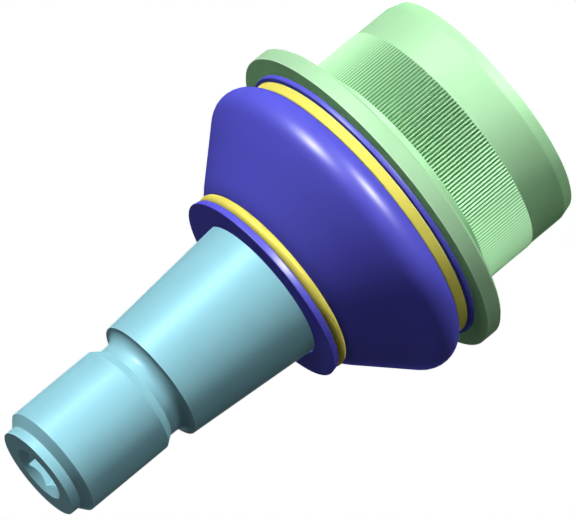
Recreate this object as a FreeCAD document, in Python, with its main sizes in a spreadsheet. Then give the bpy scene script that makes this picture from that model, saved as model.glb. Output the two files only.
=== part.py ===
import FreeCAD, Part
import math
import os
import Sketcher

# A press-in suspension ball joint, in millimetres.
# The origin is the centre of the ball, and +Z runs along the stud to its threaded tip.

doc = FreeCAD.newDocument("suspension_ball_joint")
sheet = doc.addObject("Spreadsheet::Sheet", "Sizes")


class Size:
    """A length that knows its number and the formula that a sketch follows."""

    def __init__(self, number, formula):
        self.number = number
        self.formula = formula

    def __add__(self, other):
        other = as_size(other)
        return Size(self.number + other.number, f"({self.formula} + {other.formula})")

    def __sub__(self, other):
        other = as_size(other)
        return Size(self.number - other.number, f"({self.formula} - {other.formula})")

    def __mul__(self, other):
        other = as_size(other)
        return Size(self.number * other.number, f"({self.formula} * {other.formula})")

    def __truediv__(self, other):
        other = as_size(other)
        return Size(self.number / other.number, f"({self.formula} / {other.formula})")

    def __neg__(self):
        return Size(-self.number, f"(-1 * {self.formula})")


def as_size(value):
    return value if isinstance(value, Size) else Size(float(value), repr(float(value)))


def root(value):
    return Size(math.sqrt(value.number), f"sqrt({value.formula})")


def sine(degrees):
    return Size(math.sin(math.radians(degrees.number)), f"sin({degrees.formula})")


def cosine(degrees):
    return Size(math.cos(math.radians(degrees.number)), f"cos({degrees.formula})")


def driving_size(alias, number):
    """Keep one driving dimension in the next row of the sheet."""
    driving_size.row += 1
    sheet.set(f"A{driving_size.row}", alias)
    sheet.set(f"B{driving_size.row}", str(number))
    sheet.setAlias(f"B{driving_size.row}", alias)
    return Size(float(number), f"Sizes.{alias}")


driving_size.row = 0

# Clearances
bearing_gap = driving_size("bearing_gap", 0.05)
ball_gap = driving_size("ball_gap", 0.05)
cover_gap = driving_size("cover_gap", 0.05)
spring_gap = driving_size("spring_gap", 0.02)
soft_gap = driving_size("soft_gap", 0.1)

# Ball and neck of the stud
ball_radius = driving_size("ball_radius", 14.0)
ball_flat_depth = driving_size("ball_flat_depth", 1.2)
neck_radius = driving_size("neck_radius", 8.3)
neck_fillet = driving_size("neck_fillet", 2.0)
shoulder_fillet = driving_size("shoulder_fillet", 4.0)

# Shank of the stud, upwards from the boot seat
seat_radius = driving_size("seat_radius", 11.58)
seat_length = driving_size("seat_length", 5.35)
taper_length = driving_size("taper_length", 21.63)
taper_end_radius = driving_size("taper_end_radius", 9.88)
undercut_depth = driving_size("undercut_depth", 1.02)
undercut_length = driving_size("undercut_length", 1.22)
undercut_slope_length = driving_size("undercut_slope_length", 1.44)
thread_radius = driving_size("thread_radius", 9.0)
thread_length = driving_size("thread_length", 14.61)
tip_chamfer_depth = driving_size("tip_chamfer_depth", 1.45)
tip_chamfer_length = driving_size("tip_chamfer_length", 1.29)
tip_length = driving_size("tip_length", 1.51)

# Hexagon socket in the tip
socket_across_flats = driving_size("socket_across_flats", 7.0)
socket_depth = driving_size("socket_depth", 8.0)
countersink_margin = driving_size("countersink_margin", 0.58)
pilot_margin = driving_size("pilot_margin", 0.2)
pilot_extra_depth = driving_size("pilot_extra_depth", 1.5)
drill_half_angle = driving_size("drill_half_angle", 59.0)

# Housing, outside
flange_front = driving_size("flange_front", 5.0)
flange_radius = driving_size("flange_radius", 26.68)
flange_thickness = driving_size("flange_thickness", 2.82)
flange_chamfer = driving_size("flange_chamfer", 0.4)
press_radius = driving_size("press_radius", 20.05)
press_length = driving_size("press_length", 6.39)
lead_depth = driving_size("lead_depth", 0.55)
lead_length = driving_size("lead_length", 1.88)
knurl_crest_height = driving_size("knurl_crest_height", 0.12)
knurl_root_depth = driving_size("knurl_root_depth", 0.15)
knurl_length = driving_size("knurl_length", 9.26)
knurl_teeth = driving_size("knurl_teeth", 216)
knurl_overlap = driving_size("knurl_overlap", 0.012)

# Housing, spigot and mouth inside the boot
spigot_radius = driving_size("spigot_radius", 20.2)
spigot_chamfer = driving_size("spigot_chamfer", 0.6)
bead_depth = driving_size("bead_depth", 0.8)
bead_bottom = driving_size("bead_bottom", 0.95)
bead_length = driving_size("bead_length", 2.0)
mouth_lap = driving_size("mouth_lap", 1.4)
mouth_flare = driving_size("mouth_flare", 1.3)

# Bearing, spring and cover
bearing_wall = driving_size("bearing_wall", 1.55)
bearing_split = driving_size("bearing_split", 0.8)
upper_bearing_recess = driving_size("upper_bearing_recess", 2.6)
lower_bearing_floor = driving_size("lower_bearing_floor", 1.17)
lower_bearing_hole = driving_size("lower_bearing_hole", 5.0)
grease_slots = driving_size("grease_slots", 6)
grease_slot_width = driving_size("grease_slot_width", 1.2)
grease_slot_height = driving_size("grease_slot_height", 3.6)
spring_margin = driving_size("spring_margin", 1.1)
spring_inner_radius = driving_size("spring_inner_radius", 7.0)
spring_thickness = driving_size("spring_thickness", 0.8)
spring_cone_height = driving_size("spring_cone_height", 0.45)
cover_ledge = driving_size("cover_ledge", 1.25)
cover_thickness = driving_size("cover_thickness", 1.4)
cover_dish_depth = driving_size("cover_dish_depth", 0.5)
cover_dish_radius = driving_size("cover_dish_radius", 9.5)
cover_dish_slope = driving_size("cover_dish_slope", 1.0)
rolled_lip_width = driving_size("rolled_lip_width", 1.7)
rolled_lip_thickness = driving_size("rolled_lip_thickness", 1.0)
rolled_lip_edge = driving_size("rolled_lip_edge", 0.4)

# Boot and its two rings
boot_height = driving_size("boot_height", 20.85)
boot_wall = driving_size("boot_wall", 1.9)
boot_collar_wall = driving_size("boot_collar_wall", 1.6)
boot_collar_rise = driving_size("boot_collar_rise", 1.24)
boot_rim_stand = driving_size("boot_rim_stand", 0.62)
boot_rim_height = driving_size("boot_rim_height", 0.97)
bulge_stand = driving_size("bulge_stand", 1.53)
bulge_rise = driving_size("bulge_rise", 3.58)
bulge_bend_radius = driving_size("bulge_bend_radius", 3.67)
bulge_foot_angle = driving_size("bulge_foot_angle", 63.0)
lip_wall = driving_size("lip_wall", 2.37)
lip_length = driving_size("lip_length", 4.65)
lip_rim_stand = driving_size("lip_rim_stand", 0.14)
lip_rim_length = driving_size("lip_rim_length", 1.1)
cone_start_angle = driving_size("cone_start_angle", 31.4)
band_thickness = driving_size("band_thickness", 1.28)
band_width = driving_size("band_width", 1.79)
band_edge = driving_size("band_edge", 0.15)
wire_radius = driving_size("wire_radius", 0.88)

doc.recompute()
full_turn = 360

# Radii and levels that several pieces share, from the ball outwards
cup_radius = ball_radius + ball_gap
bearing_radius = cup_radius + bearing_wall
cavity_radius = bearing_radius + bearing_gap
cover_radius = cavity_radius + cover_ledge
cover_seat_radius = cover_radius + cover_gap
mouth_radius = ball_radius - mouth_lap
mouth_level = root(cavity_radius * cavity_radius - mouth_radius * mouth_radius)
spigot_top = mouth_level + mouth_flare
flange_back = flange_front - flange_thickness
bead_low = flange_front + bead_bottom
bead_high = bead_low + bead_length
well_level = -root(cup_radius * cup_radius - lower_bearing_hole * lower_bearing_hole)
bearing_bottom = well_level - lower_bearing_floor
cover_level = bearing_bottom - spring_thickness - spring_cone_height - spring_gap * 2
cover_underside = cover_level - cover_thickness
boot_lip_front = flange_front + boot_height

# Radii and levels of the boot's foot and lip, which its rings share
band_seat_radius = spigot_radius + soft_gap + boot_collar_wall
band_inner_radius = band_seat_radius + soft_gap
band_outer_radius = band_inner_radius + band_thickness
band_low = flange_front + boot_rim_height + soft_gap / 2
lip_bore = seat_radius + soft_gap
ring_groove_bend = wire_radius + soft_gap
wire_ring_radius = lip_bore + lip_wall + ring_groove_bend
wire_ring_level = boot_lip_front - lip_rim_length - ring_groove_bend


def origin_feature(body, role):
    return [feature for feature in body.Origin.OriginFeatures if feature.Role == role][0]


def new_body(name):
    body = doc.addObject("PartDesign::Body", name)
    body.Label = name
    return body


def new_sketch(body, name, plane, offset=None):
    sketch = body.newObject("Sketcher::SketchObject", name)
    sketch.AttachmentSupport = [(origin_feature(body, plane), "")]
    sketch.MapMode = "FlatFace"
    if offset is not None:
        sketch.AttachmentOffset.Base.z = offset.number
        sketch.setExpression("AttachmentOffset.Base.z", offset.formula)
    return sketch


def hold(sketch, kind, geometry, end, distance, label):
    """Fix one coordinate of a line's end to its size."""
    index = sketch.addConstraint(
        Sketcher.Constraint(kind, -1, 1, geometry, end, distance.number)
    )
    sketch.renameConstraint(index, label)
    sketch.setExpression(f"Constraints.{label}", distance.formula)


def arc_between(start, finish, radius):
    """An arc under half a turn; it runs anticlockwise for a positive radius."""
    chord = finish - start
    rise = math.sqrt(radius * radius - chord.Length * chord.Length / 4)
    side = FreeCAD.Vector(-chord.y, chord.x, 0).normalize()
    centre = (start + finish) / 2 + side * math.copysign(rise, radius)
    first, last = (start, finish) if radius > 0 else (finish, start)
    turn = [math.atan2(point.y - centre.y, point.x - centre.x) for point in (first, last)]
    circle = Part.Circle(centre, FreeCAD.Vector(0, 0, 1), abs(radius))
    return Part.ArcOfCircle(circle, turn[0], turn[1])


def draw_outline(sketch, corners):
    """Draw a closed outline. A corner is (across, up), or (across, up, radius) before an arc."""
    spots = [[as_size(value) for value in corner] for corner in corners]
    ends = []
    for index, spot in enumerate(spots):
        following = spots[(index + 1) % len(spots)]
        start = FreeCAD.Vector(spot[0].number, spot[1].number, 0)
        finish = FreeCAD.Vector(following[0].number, following[1].number, 0)
        if len(spot) == 2:
            geometry = sketch.addGeometry(Part.LineSegment(start, finish))
            ends.append((geometry, 1, 2))
            continue
        geometry = sketch.addGeometry(arc_between(start, finish, spot[2].number))
        forward = spot[2].number > 0
        ends.append((geometry, 1, 2) if forward else (geometry, 2, 1))
        label = f"bend{index}"
        constraint = Sketcher.Constraint("Radius", geometry, abs(spot[2].number))
        sketch.renameConstraint(sketch.addConstraint(constraint), label)
        formula = spot[2].formula if forward else (-spot[2]).formula
        sketch.setExpression(f"Constraints.{label}", formula)
    for index, (geometry, start, finish) in enumerate(ends):
        following = ends[(index + 1) % len(ends)]
        joint = Sketcher.Constraint("Coincident", geometry, finish, following[0], following[1])
        sketch.addConstraint(joint)
        across, up = spots[index][:2]
        if across.number == 0:
            sketch.addConstraint(Sketcher.Constraint("PointOnObject", geometry, start, -2))
        else:
            hold(sketch, "DistanceX", geometry, start, across, f"across{index}")
        if up.number == 0:
            sketch.addConstraint(Sketcher.Constraint("PointOnObject", geometry, start, -1))
        else:
            hold(sketch, "DistanceY", geometry, start, up, f"up{index}")


def turn_outline(body, name, corners, kind="PartDesign::Revolution"):
    """Turn an outline, given as radius and height, about the Z axis."""
    sketch = new_sketch(body, f"{name}_outline", "XZ_Plane")
    draw_outline(sketch, corners)
    feature = body.newObject(kind, f"{name}_turned")
    feature.Profile = sketch
    feature.ReferenceAxis = (sketch, ["V_Axis"])
    feature.Angle = full_turn
    doc.recompute()
    return feature


def circle_edges(shape, radius, level):
    """Names of the circular edges about the Z axis with this radius at this height."""
    near = 0.001
    names = []
    for number, edge in enumerate(shape.Edges, start=1):
        if not isinstance(edge.Curve, Part.Circle):
            continue
        fits_radius = abs(edge.Curve.Radius - radius.number) < near
        if fits_radius and abs(edge.Curve.Center.z - level.number) < near:
            names.append(f"Edge{number}")
    return names


def round_edges(body, base, name, size, rings, kind="PartDesign::Fillet"):
    """Fillet or chamfer the edges at the given radii and heights."""
    names = []
    for radius, level in rings:
        names += circle_edges(base.Shape, radius, level)
    feature = body.newObject(kind, name)
    feature.Base = (base, names)
    setting = "Radius" if kind == "PartDesign::Fillet" else "Size"
    setattr(feature, setting, size.number)
    feature.setExpression(setting, size.formula)
    doc.recompute()
    return feature


def repeat_round_axis(body, feature, name, count):
    pattern = body.newObject("PartDesign::PolarPattern", name)
    pattern.Originals = [feature]
    pattern.Axis = (origin_feature(body, "Z_Axis"), [""])
    pattern.Angle = full_turn
    pattern.Occurrences = int(count.number)
    pattern.setExpression("Occurrences", count.formula)
    body.Tip = pattern
    doc.recompute()
    return pattern


def cut_upwards(body, name, level, height, corners):
    """Cut a prism upwards from a level, and make sure that it took material away."""
    before = body.Shape.Volume
    sketch = new_sketch(body, f"{name}_outline", "XY_Plane", level)
    draw_outline(sketch, corners)
    pocket = body.newObject("PartDesign::Pocket", name)
    pocket.Profile = sketch
    pocket.Reversed = True
    pocket.Length = height.number
    pocket.setExpression("Length", height.formula)
    doc.recompute()
    if pocket.Shape.Volume >= before:
        raise RuntimeError(f"{name} cuts nothing")
    return pocket


def make_ball_stud():
    """Forged stud: ball, neck, boot seat, taper, undercut, thread and hexagon socket."""
    body = new_body("ball_stud")
    seat_low = boot_lip_front - seat_length
    taper_end = boot_lip_front + taper_length
    undercut_radius = thread_radius - undercut_depth
    undercut_bend = taper_end_radius - undercut_radius
    undercut_low = taper_end + undercut_bend
    undercut_high = undercut_low + undercut_length
    thread_low = undercut_high + undercut_slope_length
    thread_high = thread_low + thread_length
    tip_low = thread_high + tip_chamfer_length
    tip = tip_low + tip_length
    tip_radius = thread_radius - tip_chamfer_depth
    half_flats = socket_across_flats / 2
    corner = socket_across_flats / math.sqrt(3)
    countersink_radius = corner + countersink_margin
    ball_flat_height = ball_radius - ball_flat_depth
    flat_radius = root(ball_radius * ball_radius - ball_flat_height * ball_flat_height)
    neck_low = root(ball_radius * ball_radius - neck_radius * neck_radius)
    neck_high = seat_low - (seat_radius - neck_radius)
    turned = turn_outline(body, "stud", [
        (0, -ball_flat_height),
        (flat_radius, -ball_flat_height, ball_radius),
        (neck_radius, neck_low),
        (neck_radius, neck_high),
        (seat_radius, seat_low),
        (seat_radius, boot_lip_front),
        (taper_end_radius, taper_end, -undercut_bend),
        (undercut_radius, undercut_low),
        (undercut_radius, undercut_high),
        (thread_radius, thread_low),
        (thread_radius, thread_high),
        (tip_radius, tip_low),
        (tip_radius, tip),
        (countersink_radius, tip),
        (0, tip - countersink_radius),
    ])
    necked = round_edges(body, turned, "neck_fillet", neck_fillet, [(neck_radius, neck_low)])
    round_edges(body, necked, "shoulder_fillet", shoulder_fillet, [(neck_radius, neck_high)])
    pilot_radius = half_flats - pilot_margin
    pilot_low = tip - socket_depth - pilot_extra_depth
    drill_point = pilot_radius * cosine(drill_half_angle) / sine(drill_half_angle)
    turn_outline(body, "pilot", [
        (0, pilot_low - drill_point),
        (pilot_radius, pilot_low),
        (pilot_radius, tip),
        (0, tip),
    ], "PartDesign::Groove")
    cut_upwards(body, "hexagon_socket", tip - socket_depth, socket_depth, [
        (corner, 0),
        (corner / 2, half_flats),
        (-(corner / 2), half_flats),
        (-corner, 0),
        (-(corner / 2), -half_flats),
        (corner / 2, -half_flats),
    ])
    return body


def make_housing():
    """Turned steel body: spigot and mouth, flange, knurled press seat, rolled lip."""
    body = new_body("housing")
    bead_radius = spigot_radius - bead_depth
    knurl_crest_radius = press_radius + knurl_crest_height
    knurl_root_radius = press_radius - knurl_root_depth
    rolled_lip_radius = cover_radius - rolled_lip_width
    housing_bottom = cover_underside - rolled_lip_thickness
    press_low = housing_bottom + lead_length
    knurl_low = press_low + press_length
    knurl_high = knurl_low + knurl_length
    turn_outline(body, "housing", [
        (mouth_radius, mouth_level),
        (mouth_radius + mouth_flare, spigot_top),
        (spigot_radius - spigot_chamfer, spigot_top),
        (spigot_radius, spigot_top - spigot_chamfer),
        (spigot_radius, bead_high),
        (bead_radius, bead_high),
        (bead_radius, bead_low),
        (spigot_radius, bead_low),
        (spigot_radius, flange_front),
        (flange_radius, flange_front),
        (flange_radius, flange_back + flange_chamfer),
        (flange_radius - flange_chamfer, flange_back),
        (press_radius, flange_back),
        (press_radius, knurl_high),
        (knurl_crest_radius, knurl_high),
        (knurl_crest_radius, knurl_low),
        (press_radius, knurl_low),
        (press_radius, press_low),
        (press_radius - lead_depth, housing_bottom),
        (rolled_lip_radius + rolled_lip_edge, housing_bottom),
        (rolled_lip_radius, housing_bottom + rolled_lip_edge),
        (rolled_lip_radius, cover_underside),
        (cover_seat_radius, cover_underside),
        (cover_seat_radius, cover_level),
        (cavity_radius, cover_level),
        (cavity_radius, 0, cavity_radius),
    ])
    # A groove is as wide as the pitch and a little more at the crests, so that these come to
    # an edge; its outline goes on as far again outside them.
    tooth_pitch = knurl_crest_radius * (2 * math.pi) / knurl_teeth
    half_width = tooth_pitch / 2 + knurl_overlap
    reach = knurl_crest_radius + knurl_crest_height + knurl_root_depth
    groove = cut_upwards(body, "knurl_groove", knurl_low, knurl_length, [
        (knurl_root_radius, 0),
        (reach, half_width * 2),
        (reach, -(half_width * 2)),
    ])
    repeat_round_axis(body, groove, "knurl", knurl_teeth)
    return body


def make_upper_bearing():
    """Polymer liner between the upper half of the ball and the housing, with grease slots."""
    body = new_body("upper_bearing")
    low = bearing_split / 2
    high = mouth_level - upper_bearing_recess
    turn_outline(body, "upper_bearing", [
        (root(cup_radius * cup_radius - low * low), low),
        (root(bearing_radius * bearing_radius - low * low), low, bearing_radius),
        (root(bearing_radius * bearing_radius - high * high), high),
        (root(cup_radius * cup_radius - high * high), high, -cup_radius),
    ])
    cut_grease_slots(body, low)
    return body


def make_lower_bearing():
    """Polymer cup under the ball, with grease slots from its rim and a grease well."""
    body = new_body("lower_bearing")
    high = -(bearing_split / 2)
    turn_outline(body, "lower_bearing", [
        (lower_bearing_hole, bearing_bottom),
        (bearing_radius, bearing_bottom),
        (bearing_radius, high),
        (root(cup_radius * cup_radius - high * high), high, -cup_radius),
        (lower_bearing_hole, well_level),
    ])
    cut_grease_slots(body, high - grease_slot_height)
    return body


def cut_grease_slots(body, level):
    """Cut slots right through the wall of a bearing, evenly round it."""
    half = grease_slot_width / 2
    slot = cut_upwards(body, f"{body.Name}_slot", level, grease_slot_height, [
        (lower_bearing_hole, -half),
        (cavity_radius, -half),
        (cavity_radius, half),
        (lower_bearing_hole, half),
    ])
    repeat_round_axis(body, slot, f"{body.Name}_slots", grease_slots)


def make_preload_spring():
    """Disc spring between the lower bearing and the cover."""
    body = new_body("preload_spring")
    low = cover_level + spring_gap
    spring_outer_radius = bearing_radius - spring_margin
    turn_outline(body, "spring", [
        (spring_inner_radius, low + spring_cone_height),
        (spring_outer_radius, low),
        (spring_outer_radius, low + spring_thickness),
        (spring_inner_radius, low + spring_cone_height + spring_thickness),
    ])
    return body


def make_cover_plate():
    """Stamped, dished plate that the rolled lip holds in the housing."""
    body = new_body("cover_plate")
    dish_rim_radius = cover_dish_radius + cover_dish_slope
    turn_outline(body, "cover", [
        (0, cover_underside - cover_dish_depth),
        (cover_dish_radius, cover_underside - cover_dish_depth),
        (dish_rim_radius, cover_underside),
        (cover_radius, cover_underside),
        (cover_radius, cover_level),
        (dish_rim_radius, cover_level),
        (cover_dish_radius, cover_level - cover_dish_depth),
        (0, cover_level - cover_dish_depth),
    ])
    return body


def make_dust_boot():
    """Moulded boot: foot on the flange, bulge, cone and a thick lip on the stud."""
    body = new_body("dust_boot")
    rim_radius = band_outer_radius + boot_rim_stand
    rim_top = flange_front + boot_rim_height
    band_top = rim_top + band_width + soft_gap
    bore = spigot_radius + soft_gap
    bead_bore = bore - bead_depth
    bend = bulge_bend_radius
    inner_bend = bend - boot_wall
    centre_across = rim_radius + bulge_stand - bend
    centre_up = band_top + bulge_rise
    foot_across = cosine(bulge_foot_angle)
    foot_up = sine(bulge_foot_angle)
    # The cone leaves the ring groove here and runs as a tangent to the bulge.
    cone_across = wire_ring_radius + ring_groove_bend * cosine(cone_start_angle)
    cone_up = wire_ring_level - ring_groove_bend * sine(cone_start_angle)
    run_across = cone_across - centre_across
    run_up = cone_up - centre_up
    square = run_across * run_across + run_up * run_up
    tangent = root(square - bend * bend)
    normal_across = (bend * run_across + tangent * run_up) / square
    normal_up = (bend * run_up - tangent * run_across) / square
    slope = -(normal_up / normal_across)
    inner_across = centre_across + inner_bend * normal_across
    inner_up = centre_up + inner_bend * normal_up
    lip_bottom = boot_lip_front - lip_length
    lip_radius = wire_ring_radius + wire_radius + lip_rim_stand
    lip_rim_low = wire_ring_level + ring_groove_bend
    turn_outline(body, "boot", [
        (bore, flange_front + soft_gap),
        (rim_radius, flange_front + soft_gap),
        (rim_radius, rim_top),
        (band_seat_radius, rim_top),
        (band_seat_radius, band_top),
        (band_outer_radius, band_top),
        (centre_across + bend * foot_across, centre_up - bend * foot_up, bend),
        (centre_across + bend * normal_across, centre_up + bend * normal_up),
        (cone_across, cone_up, -ring_groove_bend),
        (wire_ring_radius - ring_groove_bend, wire_ring_level, -ring_groove_bend),
        (wire_ring_radius, lip_rim_low),
        (lip_radius, lip_rim_low),
        (lip_radius, boot_lip_front),
        (lip_bore, boot_lip_front),
        (lip_bore, lip_bottom),
        (inner_across + (lip_bottom - inner_up) * slope, lip_bottom),
        (inner_across, inner_up, -inner_bend),
        (centre_across + inner_bend * foot_across, centre_up - inner_bend * foot_up),
        (bore, bead_high + boot_collar_rise),
        (bore, bead_high - soft_gap),
        (bead_bore, bead_high - soft_gap),
        (bead_bore, bead_low + soft_gap),
        (bore, bead_low + soft_gap),
    ])
    return body


def make_large_clamp_ring():
    """Flat steel band round the foot of the boot."""
    body = new_body("large_clamp_ring")
    band_high = band_low + band_width
    band = turn_outline(body, "band", [
        (band_inner_radius, band_low),
        (band_outer_radius, band_low),
        (band_outer_radius, band_high),
        (band_inner_radius, band_high),
    ])
    outer_edges = [(band_outer_radius, band_low), (band_outer_radius, band_high)]
    round_edges(body, band, "band_edges", band_edge, outer_edges)
    return body


def make_small_clamp_ring():
    """Round-wire ring in the groove of the boot's lip."""
    ring = doc.addObject("Part::Torus", "small_clamp_ring")
    ring.Label = "small_clamp_ring"
    ring.setExpression("Radius1", wire_ring_radius.formula)
    ring.setExpression("Radius2", wire_radius.formula)
    ring.setExpression("Placement.Base.z", wire_ring_level.formula)
    return ring


pieces = [
    make_housing(),
    make_ball_stud(),
    make_upper_bearing(),
    make_lower_bearing(),
    make_preload_spring(),
    make_cover_plate(),
    make_dust_boot(),
    make_large_clamp_ring(),
    make_small_clamp_ring(),
]
doc.recompute()

for thing in doc.Objects:
    if "Invalid" in thing.State or "Error" in thing.State:
        raise RuntimeError(f"{thing.Name} did not build: {thing.State}")
for piece in pieces:
    if piece.Shape.isNull() or not piece.Shape.isValid() or len(piece.Shape.Solids) != 1:
        raise RuntimeError(f"{piece.Label} is not one valid solid")

os.makedirs("parts", exist_ok=True)
for piece in pieces:
    piece.Shape.exportStep(f"parts/{piece.Label}.step")
    box = piece.Shape.BoundBox
    print(piece.Label, round(piece.Shape.Volume, 1), "mm3, z", round(box.ZMin, 2), round(box.ZMax, 2))
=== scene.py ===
import math

import bmesh
import bpy
from mathutils import Matrix, Vector


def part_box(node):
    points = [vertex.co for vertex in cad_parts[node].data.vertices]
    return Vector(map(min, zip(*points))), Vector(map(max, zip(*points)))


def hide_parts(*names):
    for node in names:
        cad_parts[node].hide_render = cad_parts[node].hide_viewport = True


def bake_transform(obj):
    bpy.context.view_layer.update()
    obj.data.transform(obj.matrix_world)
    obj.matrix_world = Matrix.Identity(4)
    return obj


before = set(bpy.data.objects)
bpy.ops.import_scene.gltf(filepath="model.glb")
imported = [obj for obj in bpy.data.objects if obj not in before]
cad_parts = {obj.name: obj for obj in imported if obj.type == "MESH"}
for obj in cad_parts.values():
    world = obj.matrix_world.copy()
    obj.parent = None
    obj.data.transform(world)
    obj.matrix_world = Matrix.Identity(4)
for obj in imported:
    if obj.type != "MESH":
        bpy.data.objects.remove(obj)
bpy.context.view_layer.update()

# Camera
# The photograph is a parallel projection, and a very long lens comes close to it. It looks 14.9
# degrees down on the flange, and the stud points to the lower left of the picture.
photo_width = 0.08477
sensor_width_mm = 36.0
lens_mm = 1000.0
looks_down = math.radians(14.9)
stud_dips = math.radians(39.6)
to_camera = Vector((0, -math.cos(looks_down), math.sin(looks_down)))
along_stud = Vector((0, math.sin(looks_down), math.cos(looks_down)))
across = Vector((1, 0, 0))
picture_right = -math.sin(stud_dips) * across - math.cos(stud_dips) * along_stud
picture_up = math.cos(stud_dips) * across - math.sin(stud_dips) * along_stud
centre_across = 0.00084
centre_along_stud = 0.01914
picture_centre = centre_across * across + centre_along_stud * along_stud
camera_distance = photo_width * lens_mm / sensor_width_mm

camera = bpy.data.objects.new("camera", bpy.data.cameras.new("camera"))
bpy.context.scene.collection.objects.link(camera)
camera.data.lens = lens_mm
camera.data.sensor_width = sensor_width_mm
camera.data.clip_start = 0.1
camera.data.clip_end = 20.0
camera.matrix_world = Matrix.LocRotScale(
    picture_centre + camera_distance * to_camera,
    Matrix((picture_right, picture_up, to_camera)).transposed(),
    None,
)
bpy.context.scene.camera = camera

# Studio
# A white shooting table that can be seen through from below. Plain lamps light the joint from the
# front right, from below and from behind, and a weak soft one overhead throws its shadow on the
# table. Three small lamps show only as glints, and a little light comes from all round.
bpy.context.scene.view_settings.view_transform = "Standard"


class Shade:
    """A socket of a material or world. Arithmetic on it adds Math nodes."""

    def __init__(self, tree, socket=None):
        self.tree = tree
        self.socket = socket

    def node(self, kind, settings, inputs, output=0):
        """Add a node: its settings are set first, then the values or links of its sockets."""
        made = self.tree.nodes.new(kind)
        for name, value in settings.items():
            setattr(made, name, value)
        for name, value in inputs.items():
            if isinstance(value, Shade):
                self.tree.links.new(value.socket, made.inputs[name])
            else:
                made.inputs[name].default_value = value
        return Shade(self.tree, made.outputs[output]) if made.outputs else made

    def maths(self, operation, *values):
        return self.node("ShaderNodeMath", {"operation": operation}, dict(enumerate(values)))

    def clamped(self):
        """The same value kept between 0 and 1."""
        return self.node("ShaderNodeMath", {"operation": "ADD", "use_clamp": True}, {0: self, 1: 0.0})

    def __add__(self, other):
        return self.maths("ADD", self, other)

    def __radd__(self, other):
        return self.maths("ADD", other, self)

    def __sub__(self, other):
        return self.maths("SUBTRACT", self, other)

    def __rsub__(self, other):
        return self.maths("SUBTRACT", other, self)

    def __mul__(self, other):
        return self.maths("MULTIPLY", self, other)

    def __rmul__(self, other):
        return self.maths("MULTIPLY", other, self)


white = (1, 1, 1, 1)
ambient_colour = (0.90, 0.97, 1.0, 1)
ambient_level = 0.02

world = bpy.data.worlds.new("studio")
bpy.context.scene.world = world
world.use_nodes = True
world.node_tree.nodes.clear()
air = Shade(world.node_tree)
seen = air.node("ShaderNodeLightPath", {}, {}, "Is Camera Ray")
mirrored = air.node("ShaderNodeLightPath", {}, {}, "Is Glossy Ray")
refracted = air.node("ShaderNodeLightPath", {}, {}, "Is Transmission Ray")
shown = seen.maths("MAXIMUM", seen.maths("MAXIMUM", seen, mirrored), refracted)
around = air.node("ShaderNodeBackground", {}, {"Color": ambient_colour, "Strength": ambient_level})
backdrop = air.node("ShaderNodeBackground", {}, {"Color": white, "Strength": 1.0})
sky = air.node("ShaderNodeMixShader", {}, {0: shown, 1: around, 2: backdrop})
air.node("ShaderNodeOutputWorld", {}, {"Surface": sky})

ceiling_level = 0.09
ceiling_place = Vector((0.25, -0.25, 0.94)).normalized()
table_size = 6.0
table_albedo = 0.9
table_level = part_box("housing")[0].z
table_mesh = bpy.data.meshes.new("table")
half = table_size / 2
table_mesh.from_pydata([(-half, -half, table_level), (half, -half, table_level),
                        (half, half, table_level), (-half, half, table_level)], [], [(0, 1, 2, 3)])
table = bpy.data.objects.new("table", table_mesh)
bpy.context.scene.collection.objects.link(table)
table.visible_shadow = False
table_finish = bpy.data.materials.new("white_table")
table_finish.use_nodes = True
table_finish.node_tree.nodes.clear()
top = Shade(table_finish.node_tree)
table_seen = top.node("ShaderNodeLightPath", {}, {}, "Is Camera Ray")
table_mirrored = top.node("ShaderNodeLightPath", {}, {}, "Is Glossy Ray")
table_shown = table_seen.maths("MAXIMUM", table_seen, table_mirrored)
# The glow makes up what the light on the table leaves short of white, so its shadow still shows.
table_light = ambient_level + ceiling_level * ceiling_place.z
glow_level = (1 - table_albedo * table_light) * table_shown
matt = top.node("ShaderNodeBsdfDiffuse", {}, {"Color": (table_albedo, table_albedo, table_albedo, 1)})
glow = top.node("ShaderNodeEmission", {}, {"Color": white, "Strength": glow_level})
lit_top = top.node("ShaderNodeAddShader", {}, {0: matt, 1: glow})
from_below = top.node("ShaderNodeNewGeometry", {}, {}, "Backfacing")
glass = top.node("ShaderNodeBsdfTransparent", {}, {"Color": white})
table_top = top.node("ShaderNodeMixShader", {}, {0: from_below, 1: lit_top, 2: glass})
top.node("ShaderNodeOutputMaterial", {}, {"Surface": table_top})
table_mesh.materials.append(table_finish)


def lamp(name, comes_from, level, softness_degrees, glints=False, shadows=False):
    """A far lamp; at level 1 a white surface that faces it renders white.

    It shows either in matt light or, for glints, in gloss alone, and casts shadows only if asked.
    """
    light = bpy.data.lights.new(name, "SUN")
    light.energy = level * math.pi
    light.angle = math.radians(softness_degrees)
    light.use_shadow = shadows
    holder = bpy.data.objects.new(name, light)
    bpy.context.scene.collection.objects.link(holder)
    holder.rotation_mode = "QUATERNION"
    holder.rotation_quaternion = Vector(comes_from).to_track_quat("Z", "Y")
    holder.visible_diffuse = not glints
    holder.visible_glossy = glints


lamp("main_lamp", (0.72, -0.66, -0.20), level=0.86, softness_degrees=12)
lamp("low_lamp", (0.07, -0.58, -0.80), level=0.34, softness_degrees=12)
lamp("back_lamp", (-0.15, 0.98, -0.05), level=0.50, softness_degrees=12)
lamp("ceiling_lamp", ceiling_place, ceiling_level, softness_degrees=40, shadows=True)
lamp("main_glint", (0.79, -0.61, 0.05), level=7.0, softness_degrees=8, glints=True)
lamp("low_glint", (0.07, -0.73, -0.68), level=7.0, softness_degrees=8, glints=True)
lamp("side_glint", (0.846, -0.499, -0.189), level=0.8, softness_degrees=2, glints=True)

# Housing
# The joint's body, turned from steel bar: flange, knurled press seat and a lip rolled over the
# cover. It is cleaned and dip-coated pale green, thin enough to show the turning marks.


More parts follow.
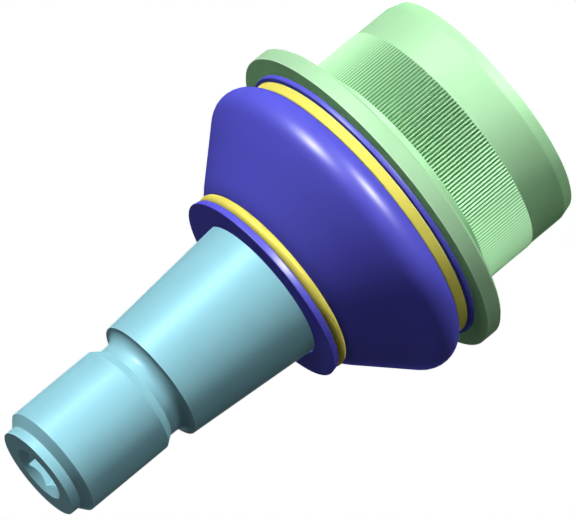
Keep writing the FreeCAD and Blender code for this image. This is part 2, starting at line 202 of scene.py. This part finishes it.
def new_finish(name):
    """A material, the place where its nodes start, and its surface shader."""
    finish = bpy.data.materials.new(name)
    finish.use_nodes = True
    surface = finish.node_tree.nodes["Principled BSDF"]
    return finish, Shade(finish.node_tree), surface


def connect(surface, inputs):
    """Give a surface shader its values and links."""
    for name, value in inputs.items():
        if isinstance(value, Shade):
            value.tree.links.new(value.socket, surface.inputs[name])
        else:
            surface.inputs[name].default_value = value


mm_per_metre = 1000


def round_place(start):
    """A point's distance from the axis and its level, both in millimetres."""
    place = start.node("ShaderNodeTexCoord", {}, {}, "Object")
    flat = start.node(
        "ShaderNodeVectorMath", {"operation": "MULTIPLY"},
        {0: place, 1: (mm_per_metre, mm_per_metre, 0)},
    )
    radius = start.node("ShaderNodeVectorMath", {"operation": "LENGTH"}, {0: flat}, "Value")
    level = mm_per_metre * start.node("ShaderNodeSeparateXYZ", {}, {0: place}, "Z")
    return radius, level


def turned_marks(start, radius, level, lines_per_mm):
    """Fine rings about the axis, as a lathe tool leaves them, from 0 to 1."""
    outline = start.node("ShaderNodeCombineXYZ", {}, {"X": radius, "Y": level})
    return start.node(
        "ShaderNodeTexNoise", {"noise_dimensions": "2D"},
        {"Vector": outline, "Scale": lines_per_mm, "Detail": 3.0, "Roughness": 0.6},
    )


def clouds(start, size, detail=3.0):
    """Soft uneven patches of about this size in metres, from 0 to 1."""
    place = start.node("ShaderNodeTexCoord", {}, {}, "Object")
    return start.node(
        "ShaderNodeTexNoise", {}, {"Vector": place, "Scale": 1 / size, "Detail": detail}
    )


def rubbed_edges(radius, level, reach, edges):
    """1 along round edges, each a radius and a level, fading to 0 over the reach in mm."""
    rubbed = 0.0
    for edge_radius, edge_level in edges:
        across = radius - edge_radius
        up = level - edge_level
        away = radius.maths("SQRT", across * across + up * up)
        rubbed = radius.maths("MAXIMUM", 1 - (1 / reach) * away, rubbed)
    return rubbed


def blend_colours(share, first, second):
    """From the first colour to the second as the share goes from 0 to 1."""
    # A Mix node has its colours at sockets 6 and 7, and gives the blend at output 2.
    return share.node(
        "ShaderNodeMix", {"data_type": "RGBA"}, {0: share, 6: first, 7: second}, 2
    )


def fine_relief(start, height, depth):
    """The shading of a relief this deep in metres, for a height from 0 to 1."""
    return start.node("ShaderNodeBump", {}, {"Height": height, "Strength": 1.0, "Distance": depth})


crisp_angle = math.radians(28)


def dress(node, finish, spills=False):
    """Give a CAD solid its finish, with smooth round faces and crisp edges.

    Unless it spills, its shade and colour don't reach what is beside it.
    """
    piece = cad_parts[node]
    piece.data.materials.clear()
    piece.data.materials.append(finish)
    piece.data.polygons.foreach_set("use_smooth", [True] * len(piece.data.polygons))
    piece.data.set_sharp_from_angle(angle=crisp_angle)
    piece.visible_diffuse = spills


# Radii and levels here and below are in millimetres, and depths of relief in metres.
flange_radius = 26.68
flange_front = 5.0
flange_back = 2.18
press_radius = 20.05
lead_in_radius = 19.5
housing_bottom = -17.99
knurl_crest = 20.17
knurl_root = 19.9
knurl_low = -9.72
knurl_high = -0.46
knurl_margin = 0.1
knurl_shading = 0.00007
turning_depth = 0.000006
pale_green = (0.43, 0.74, 0.43, 1)
paler_green = (0.49, 0.81, 0.49, 1)
# Dark green painted as shade in the knurl's grooves.
green_painted_groove_shade = (0.05, 0.18, 0.07, 1)
green_on_rubbed_edges = (0.74, 1.0, 0.74, 1)

coating, start, surface = new_finish("coated_steel")
radius, level = round_place(start)
marks = turned_marks(start, radius, level, lines_per_mm=4.0)
patches = clouds(start, size=0.006)
grains = clouds(start, size=0.0006, detail=1.0)
rubbed = rubbed_edges(radius, level, reach=0.30, edges=[
    (flange_radius, flange_front),
    (flange_radius, flange_back),
    (press_radius, flange_back),
    (lead_in_radius, housing_bottom),
])
in_knurl = radius.maths("GREATER_THAN", level, knurl_low) * radius.maths("LESS_THAN", level, knurl_high)
outside = radius.maths("GREATER_THAN", radius, knurl_root - knurl_margin)
sunk = (1 / (knurl_crest - knurl_root)) * (knurl_crest - radius)
groove = (in_knurl * outside * sunk).clamped()
# Painted shade: the colour darkens towards the bottom of the knurl's grooves, deepest at the root.
painted_groove_shade = (1.4 * groove * groove * groove).clamped()
worn = (rubbed * (0.4 + 0.9 * grains)).clamped()
tone = blend_colours(0.35 * marks + 0.65 * patches, pale_green, paler_green)
tone = blend_colours(painted_groove_shade, tone, green_painted_groove_shade)
tone = blend_colours(0.5 * worn, tone, green_on_rubbed_edges)
turned = turning_depth * (0.7 * marks + 0.3 * grains)
connect(surface, {
    "Base Color": tone,
    "Metallic": 0.024,
    "Roughness": 0.46 + 0.14 * patches,
    "Specular IOR Level": 0.0,
    "Normal": fine_relief(start, turned - knurl_shading * groove, depth=1.0),
})
dress("housing", coating, spills=True)

# Cover plate
# A stamped steel disc with a shallow dish, laid on the housing's ledge and held by its rolled
# lip. It has the housing's green passivation, greyer, with the flow marks of the stamping.
dish_edge = (9.5, -17.72)
dish_rim = (10.5, -17.22)
grey_green = (0.36, 0.56, 0.36, 1)
paler_grey_green = (0.48, 0.70, 0.47, 1)
grey_green_on_rubbed_edges = (0.62, 0.80, 0.60, 1)

plated, start, surface = new_finish("plate_steel")
radius, level = round_place(start)
patches = clouds(start, size=0.005)
speckle = clouds(start, size=0.0005, detail=2.0)
rubbed = rubbed_edges(radius, level, reach=0.4, edges=[dish_edge, dish_rim])
worn = (rubbed * (0.3 + 0.8 * speckle)).clamped()
tone = blend_colours(0.7 * patches + 0.3 * speckle, grey_green, paler_grey_green)
tone = blend_colours(worn, tone, grey_green_on_rubbed_edges)
connect(surface, {
    "Base Color": tone,
    "Metallic": 0.05,
    "Roughness": 0.36 + 0.2 * speckle,
    "Specular IOR Level": 0.0,
    "Normal": fine_relief(start, 0.5 * patches + 0.5 * speckle, depth=0.00002),
})
dress("cover_plate", plated)

# Bearings
# Two halves of a liner round the ball, moulded from natural off-white polymer with grease slots.
# The disc spring presses both against the ball.
off_white = (0.66, 0.63, 0.53, 1)
paler_off_white = (0.76, 0.73, 0.64, 1)

polymer, start, surface = new_finish("bearing_polymer")
cloudy = clouds(start, size=0.003)
speckle = clouds(start, size=0.0004, detail=2.0)
tone = blend_colours(0.6 * cloudy + 0.4 * speckle, off_white, paler_off_white)
connect(surface, {
    "Base Color": tone,
    "Roughness": 0.42 + 0.14 * speckle,
    "Specular IOR Level": 0.4,
    "Normal": fine_relief(start, speckle, depth=0.000012),
})
dress("upper_bearing", polymer)
dress("lower_bearing", polymer)

# Spring
# A disc spring stamped from strip, hardened and blued. It lies between the lower bearing and
# the cover, and keeps the liner tight on the ball as it wears.
dark_blue = (0.06, 0.075, 0.11, 1)
grey_blue = (0.12, 0.13, 0.16, 1)

blued, start, surface = new_finish("spring_steel")
radius, level = round_place(start)
marks = turned_marks(start, radius, level, lines_per_mm=2.5)
heat = clouds(start, size=0.004)
tone = blend_colours(heat, dark_blue, grey_blue)
connect(surface, {
    "Base Color": tone,
    "Metallic": 0.8,
    "Roughness": 0.34 + 0.16 * marks,
    "Normal": fine_relief(start, marks, depth=0.000006),
})
dress("preload_spring", blued)

# Ball stud
# Forged and turned in one piece, with a polished ball, a ground taper, an undercut and a
# hexagon socket in its tip, and passivated to a pale cyan.
ball_top = 12.0
taper_end = (9.88, 47.48)
thread_end = (9.0, 66.65)
tip_foot = (7.55, 67.94)
tip_rim = (7.55, 69.45)
socket_rim = (4.62, 69.45)
cyan = (0.285, 0.61, 0.71, 1)
paler_cyan = (0.34, 0.69, 0.80, 1)
cyan_on_rubbed_edges = (0.58, 0.90, 0.98, 1)

passivated, start, surface = new_finish("stud_steel")
radius, level = round_place(start)
marks = turned_marks(start, radius, level, lines_per_mm=5.0)
patches = clouds(start, size=0.005)
grains = clouds(start, size=0.0006, detail=1.0)
polished = (ball_top - level).clamped()
rubbed = rubbed_edges(radius, level, reach=0.28, edges=[
    taper_end, thread_end, tip_foot, tip_rim, socket_rim
])
worn = (rubbed * (0.3 + 0.9 * grains)).clamped()
tone = blend_colours(0.4 * marks + 0.6 * patches, cyan, paler_cyan)
tone = blend_colours(0.4 * worn, tone, cyan_on_rubbed_edges)
connect(surface, {
    "Base Color": tone,
    "Metallic": 0.022,
    "Roughness": 0.46 + 0.12 * patches - 0.20 * polished,
    "Specular IOR Level": 0.0,
    "Coat Weight": 0.03,
    "Coat Roughness": 0.2,
    "Normal": fine_relief(start, (1 - 0.9 * polished) * marks, depth=0.000005),
})
dress("ball_stud", passivated)

# Large clamp ring
# A flat band of spring steel strip, yellow-passivated, round the boot's foot. The strip was
# rolled lengthwise, so its grain runs round the ring, and its sheared edges are rubbed.
band_radius = 23.28
band_low = 6.02
band_high = 7.81
yellow = (0.92, 0.80, 0.12, 1)
bright_yellow = (1.0, 0.90, 0.19, 1)
yellow_on_rubbed_edges = (1.0, 0.95, 0.42, 1)

yellow_strip, start, surface = new_finish("ring_strip")
radius, level = round_place(start)
marks = turned_marks(start, radius, level, lines_per_mm=7.0)
patches = clouds(start, size=0.004)
rubbed = rubbed_edges(radius, level, reach=0.25, edges=[
    (band_radius, band_low), (band_radius, band_high)
])
worn = (rubbed * (0.3 + 0.9 * patches)).clamped()
tone = blend_colours(0.4 * marks + 0.6 * patches, yellow, bright_yellow)
tone = blend_colours(0.6 * worn, tone, yellow_on_rubbed_edges)
connect(surface, {
    "Base Color": tone,
    "Metallic": 0.018,
    "Roughness": 0.44 + 0.14 * patches,
    "Specular IOR Level": 0.0,
    "Normal": fine_relief(start, marks, depth=0.000005),
})
dress("large_clamp_ring", yellow_strip)

# Small clamp ring
# A ring of round spring wire, yellow-passivated, sprung into the groove below the boot's lip.
# Drawing the wire left fine lines along it.
deep_yellow = (0.90, 0.76, 0.11, 1)

yellow_wire, start, surface = new_finish("ring_wire")
radius, level = round_place(start)
marks = turned_marks(start, radius, level, lines_per_mm=9.0)
patches = clouds(start, size=0.003)
tone = blend_colours(0.4 * marks + 0.6 * patches, deep_yellow, bright_yellow)
connect(surface, {
    "Base Color": tone,
    "Metallic": 0.018,
    "Roughness": 0.42 + 0.16 * patches,
    "Specular IOR Level": 0.0,
    "Normal": fine_relief(start, marks, depth=0.000004),
})
dress("small_clamp_ring", yellow_wire)

# Dust boot
# Moulded from blue-violet rubber: a foot clamped on the housing, a bulge that takes the swing,
# a cone and a thick lip on the stud. It keeps the grease in.


def soft_outline(corners, steps_per_turn):
    """Points round a closed outline whose corners, each x, y and bend, are rounded."""
    points = []
    for place, (x, y, bend) in enumerate(corners):
        corner = Vector((x, y))
        if not bend:
            points.append(corner)
            continue
        back = (Vector(corners[place - 1][:2]) - corner).normalized()
        ahead = (Vector(corners[(place + 1) % len(corners)][:2]) - corner).normalized()
        half_angle = back.angle(ahead) / 2
        trim = bend / math.tan(half_angle)
        centre = corner + (back + ahead).normalized() * bend / math.sin(half_angle)
        first = corner + back * trim - centre
        turn = math.pi - 2 * half_angle
        side = 1 if back.cross(ahead) < 0 else -1
        steps = max(2, round(steps_per_turn * turn / (2 * math.pi)))
        for step in range(steps + 1):
            angle = side * turn * step / steps
            points.append(centre + Vector((
                first.x * math.cos(angle) - first.y * math.sin(angle),
                first.x * math.sin(angle) + first.y * math.cos(angle),
            )))
    return points


def divided(points, longest):
    """The same closed outline with no step longer than this."""
    finer = []
    for place, point in enumerate(points):
        following = points[(place + 1) % len(points)]
        parts = max(1, math.ceil((following - point).length / longest))
        finer += [point.lerp(following, part / parts) for part in range(parts)]
    return finer


def moulded_ring(name, outline, steps_round):
    """A mesh of revolution about the axis, from a closed outline in millimetres."""
    mm = 0.001
    mesh = bmesh.new()
    loops = []
    for step in range(steps_round):
        turn = 2 * math.pi * step / steps_round
        loops.append([
            mesh.verts.new((mm * p.x * math.cos(turn), mm * p.x * math.sin(turn), mm * p.y))
            for p in outline
        ])
    for step in range(steps_round):
        here = loops[step]
        beside = loops[(step + 1) % steps_round]
        for place in range(len(outline)):
            after = (place + 1) % len(outline)
            mesh.faces.new((here[place], beside[place], beside[after], here[after]))
    bmesh.ops.recalc_face_normals(mesh, faces=mesh.faces)
    made = bpy.data.meshes.new(name)
    mesh.to_mesh(made)
    mesh.free()
    made.polygons.foreach_set("use_smooth", [True] * len(made.polygons))
    piece = bpy.data.objects.new(name, made)
    bpy.context.scene.collection.objects.link(piece)
    return piece


# The outline goes up on the outside, over the lip and back down inside. Each corner is a radius,
# a level and how widely the mould rounds it, in millimetres.
foot_and_bulge = [
    (20.30, 5.10, 0.20), (23.90, 5.10, 0.22), (23.90, 5.97, 0.22), (21.90, 5.97, 0.20),
    (21.90, 7.86, 0.20), (23.28, 7.86, 0.20), (27.60, 10.35, 3.72), (16.78, 22.27, 9.0),
]
wire_centre_radius = 15.03
wire_centre_level = 23.77
groove_radius = 0.98
groove_mouth = 0.1
groove_from = -50
groove_to = -286
groove_steps = 16
wire_groove = []
for step in range(groove_steps + 1):
    turn = math.radians(groove_from + (groove_to - groove_from) * step / groove_steps)
    x = wire_centre_radius + groove_radius * math.cos(turn)
    y = wire_centre_level + groove_radius * math.sin(turn)
    wire_groove.append((x, y, 0 if step else groove_mouth))
lip_and_inside = [
    (15.79, 24.575, 0.32), (16.06, 25.85, 0.12), (11.68, 25.85, 0.12), (11.68, 21.20, 0.35),
    (15.19, 21.20, 0.80), (24.642, 10.922, 1.77), (20.30, 9.19, 0.50), (20.30, 7.85, 0.15),
    (19.50, 7.85, 0.20), (19.50, 6.05, 0.20), (20.30, 6.05, 0.15),
]
outline = soft_outline(foot_and_bulge + wire_groove + lip_and_inside, steps_per_turn=32)
outline = divided(outline, longest=0.8)
boot = moulded_ring("moulded_boot", outline, steps_round=192)
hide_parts("dust_boot")
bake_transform(boot)

# Painted shade: the cone is coloured a shade darker than the bulge below it and the lip above.
cone_begins = 12.0
cone_full = 17.0
lip_begins = 22.9
lip_full = 23.4
blue_violet = (0.106, 0.101, 0.77, 1)
lighter_blue_violet = (0.134, 0.129, 0.90, 1)
blue_violet_painted_shade = (0.100, 0.096, 0.70, 1)

rubber, start, surface = new_finish("boot_rubber")
level = round_place(start)[1]
patches = clouds(start, size=0.004)
skin = clouds(start, size=0.00035, detail=2.0)
above_bulge = ((1 / (cone_full - cone_begins)) * (level - cone_begins)).clamped()
below_lip = ((1 / (lip_full - lip_begins)) * (lip_full - level)).clamped()
tone = blend_colours(0.7 * patches + 0.3 * skin, blue_violet, lighter_blue_violet)
# Painted shade over the cone, between the bulge and the lip.
tone = blend_colours(0.8 * above_bulge * below_lip, tone, blue_violet_painted_shade)
connect(surface, {
    "Base Color": tone,
    "Roughness": 0.5,
    "Specular IOR Level": 0.0,
    "Coat Weight": 0.027,
    "Coat Roughness": 0.39,
    "Coat IOR": 4.0,
    "Normal": fine_relief(start, skin, depth=0.000003),
})
boot.data.materials.append(rubber)
boot.visible_diffuse = False
